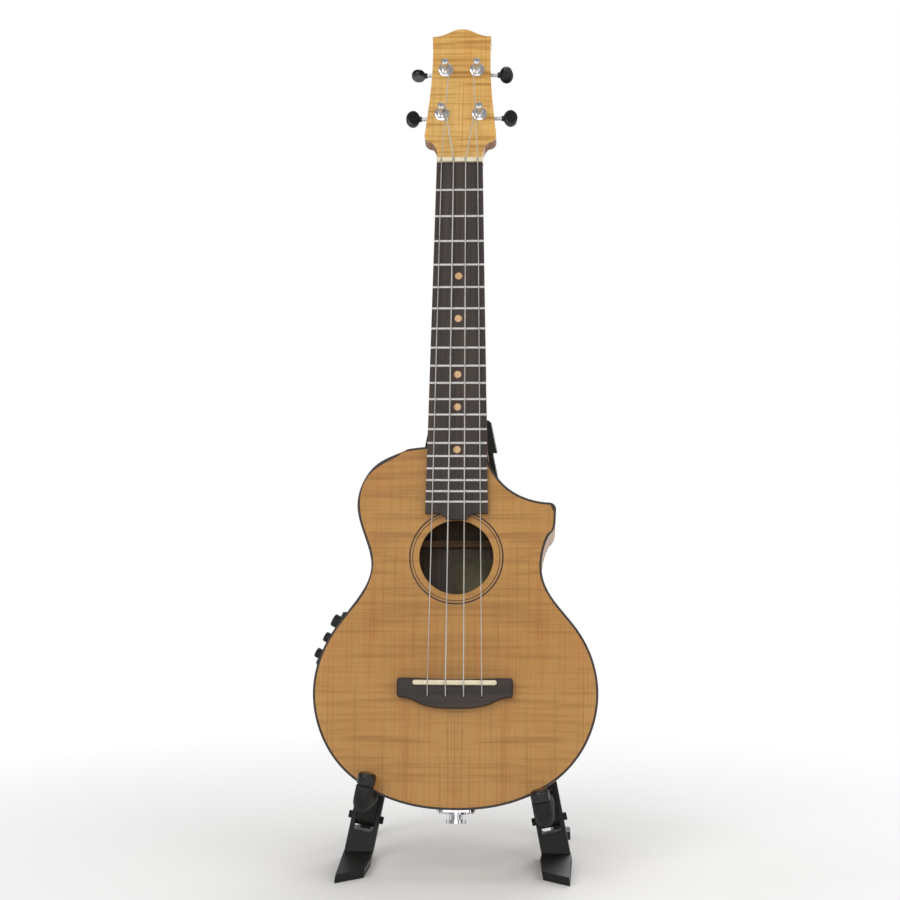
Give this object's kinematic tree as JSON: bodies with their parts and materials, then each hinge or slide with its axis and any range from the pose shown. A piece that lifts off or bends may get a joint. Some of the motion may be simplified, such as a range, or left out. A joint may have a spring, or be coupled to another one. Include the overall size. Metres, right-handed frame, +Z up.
{
  "type": "ukulele on stand",
  "caption": "Small flamed-maple ukulele with a pointed cutaway and side controls, leaning on a folding black plastic A-frame stand with padded arms.",
  "frame": {"origin": "on the floor under the middle of the whole object", "axes": "+Z up, the strings face -Y, +X to the right as seen from the front"},
  "size_m": [0.2022, 0.1747, 0.6185],
  "materials": {
    "body_maple": "satin clear lacquer over flamed maple",
    "head_maple": "satin clear lacquer over flamed maple",
    "neck_wood": "satin",
    "inner_wood": "raw",
    "rosewood": "oiled, fine pores",
    "dark_binding": "polished",
    "bone": "polished",
    "dot_wood": "flush inlay",
    "nickel": "polished crown",
    "nylon": "translucent",
    "chrome_metal": "bright plated",
    "steel": "turned",
    "black_gloss": "moulded gloss",
    "black_matte": "moulded matt",
    "stand_plastic": "moulded fine texture",
    "stand_rubber": "matt",
    "foam": "closed-cell foam"
  },
  "bodies": {
    "stand_head": {"hinge_head": "stand_plastic", "head_pad": "stand_rubber", "hinge_pins": "chrome_metal"},
    "leg_left": {"leg_left": "stand_plastic", "foot_pads_left": "stand_rubber", "pivot_pin_left": "stand_plastic"},
    "arm_left": {"arm_left": "stand_plastic", "sleeve_left": "foam", "cap_left": "black_gloss"},
    "leg_right": {"leg_right": "stand_plastic", "foot_pads_right": "stand_rubber", "pivot_pin_right": "stand_plastic"},
    "arm_right": {"arm_right": "stand_plastic", "sleeve_right": "foam", "cap_right": "black_gloss"},
    "tuner_g": {"tuner_knob_g": "black_gloss", "worm_shaft_g": "steel"},
    "post_g": {"string_post_g": "chrome_metal"},
    "tuner_c": {"tuner_knob_c": "black_gloss", "worm_shaft_c": "steel"},
    "post_c": {"string_post_c": "chrome_metal"},
    "tuner_e": {"tuner_knob_e": "black_gloss", "worm_shaft_e": "steel"},
    "post_e": {"string_post_e": "chrome_metal"},
    "tuner_a": {"tuner_knob_a": "black_gloss", "worm_shaft_a": "steel"},
    "post_a": {"string_post_a": "chrome_metal"},
    "volume_knob": {"volume_knob": "black_matte"},
    "bass_knob": {"bass_knob": "black_matte"},
    "treble_knob": {"treble_knob": "black_matte"},
    "tuner_button": {"tuner_button": "black_matte"},
    "ukulele": {"back_plate": "body_maple", "bindings": "dark_binding", "braces": "inner_wood", "bridge": "rosewood", "end_blocks": "inner_wood", "endpin_jack": "chrome_metal", "fretboard": "rosewood", "frets": "nickel", "headstock_veneer": "head_maple", "jack_plate": "chrome_metal", "jack_screws": "chrome_metal", "linings": "inner_wood", "neck": "neck_wood", "nut": "bone", "position_dots": "dot_wood", "preamp_housing": "black_matte", "preamp_panel": "black_matte", "preamp_screws": "chrome_metal", "rosette_rings": "dark_binding", "saddle": "bone", "saddle_pickup": "steel", "side_rim": "body_maple", "strings": "nylon", "top_plate": "body_maple", "tuner_bushings": "chrome_metal", "tuner_housings": "chrome_metal", "tuner_screws": "chrome_metal", "tuner_washers": "chrome_metal"}
  },
  "joints": [
    {"name": "uke_lift", "type": "slide", "parent": "stand_head", "child": "ukulele", "axis": [0, 0.1908, 0.9816], "range_m": [0, 0.34]},
    {"name": "left_leg_fold", "type": "hinge", "parent": "stand_head", "child": "leg_left", "pos_m": [-0.0116, 0.05935, 0.307], "axis": [0, -1, 0], "range_deg": [0, 10.65]},
    {"name": "left_arm_fold", "type": "hinge", "parent": "leg_left", "child": "arm_left", "pos_m": [-0.06715, 0.00371, 0.029], "axis": [-0.9806, 0, 0.1959], "range_deg": [0, 88.1]},
    {"name": "right_leg_fold", "type": "hinge", "parent": "stand_head", "child": "leg_right", "pos_m": [0.0116, 0.05935, 0.307], "axis": [0, 1, 0], "range_deg": [0, 10.65]},
    {"name": "right_arm_fold", "type": "hinge", "parent": "leg_right", "child": "arm_right", "pos_m": [0.06715, 0.00371, 0.029], "axis": [-0.9806, 0, -0.1959], "range_deg": [0, 88.1]},
    {"name": "tuner_g_turn", "type": "hinge", "parent": "ukulele", "child": "tuner_g", "pos_m": [-0.01072, 0.06169, 0.58486], "axis": [1, 0, 0], "continuous": true},
    {"name": "post_g_turn", "type": "hinge", "parent": "ukulele", "child": "post_g", "pos_m": [-0.01072, 0.04407, 0.58437], "axis": [0, -0.9455, 0.3256], "continuous": true},
    {"name": "tuner_c_turn", "type": "hinge", "parent": "ukulele", "child": "tuner_c", "pos_m": [-0.01292, 0.04948, 0.5494], "axis": [1, 0, 0], "continuous": true},
    {"name": "post_c_turn", "type": "hinge", "parent": "ukulele", "child": "post_c", "pos_m": [-0.01292, 0.03186, 0.54891], "axis": [0, -0.9455, 0.3256], "continuous": true},
    {"name": "tuner_e_turn", "type": "hinge", "parent": "ukulele", "child": "tuner_e", "pos_m": [0.01508, 0.04948, 0.5494], "axis": [1, 0, 0], "continuous": true},
    {"name": "post_e_turn", "type": "hinge", "parent": "ukulele", "child": "post_e", "pos_m": [0.01508, 0.03186, 0.54891], "axis": [0, -0.9455, 0.3256], "continuous": true},
    {"name": "tuner_a_turn", "type": "hinge", "parent": "ukulele", "child": "tuner_a", "pos_m": [0.01288, 0.06169, 0.58486], "axis": [1, 0, 0], "continuous": true},
    {"name": "post_a_turn", "type": "hinge", "parent": "ukulele", "child": "post_a", "pos_m": [0.01288, 0.04407, 0.58437], "axis": [0, -0.9455, 0.3256], "continuous": true},
    {"name": "volume_knob_turn", "type": "hinge", "parent": "ukulele", "child": "volume_knob", "pos_m": [-0.08331, -0.02583, 0.17431], "axis": [-0.8862, 0.0884, 0.4548], "range_deg": [-140, 140]},
    {"name": "bass_knob_turn", "type": "hinge", "parent": "ukulele", "child": "bass_knob", "pos_m": [-0.08942, -0.02806, 0.16282], "axis": [-0.8862, 0.0884, 0.4548], "range_deg": [-140, 140]},
    {"name": "treble_knob_turn", "type": "hinge", "parent": "ukulele", "child": "treble_knob", "pos_m": [-0.09535, -0.03023, 0.15169], "axis": [-0.8862, 0.0884, 0.4548], "range_deg": [-140, 140]},
    {"name": "tuner_button_press", "type": "slide", "parent": "ukulele", "child": "tuner_button", "axis": [0.8862, -0.0884, -0.4548], "range_m": [0, 0.0008], "stiffness_N_per_m": 300, "springref_m": -0.0004}
  ],
  "couplings": [
    {"joint": "left_leg_fold", "follows": "uke_lift", "rad_per_m": 0.54413},
    {"joint": "left_arm_fold", "follows": "uke_lift", "rad_per_m": 4.5173},
    {"joint": "right_leg_fold", "follows": "uke_lift", "rad_per_m": 0.54413},
    {"joint": "right_arm_fold", "follows": "uke_lift", "rad_per_m": 4.5173},
    {"joint": "post_g_turn", "follows": "tuner_g_turn", "ratio": 0.071429},
    {"joint": "post_c_turn", "follows": "tuner_c_turn", "ratio": 0.071429},
    {"joint": "post_e_turn", "follows": "tuner_e_turn", "ratio": 0.071429},
    {"joint": "post_a_turn", "follows": "tuner_a_turn", "ratio": 0.071429}
  ]
}
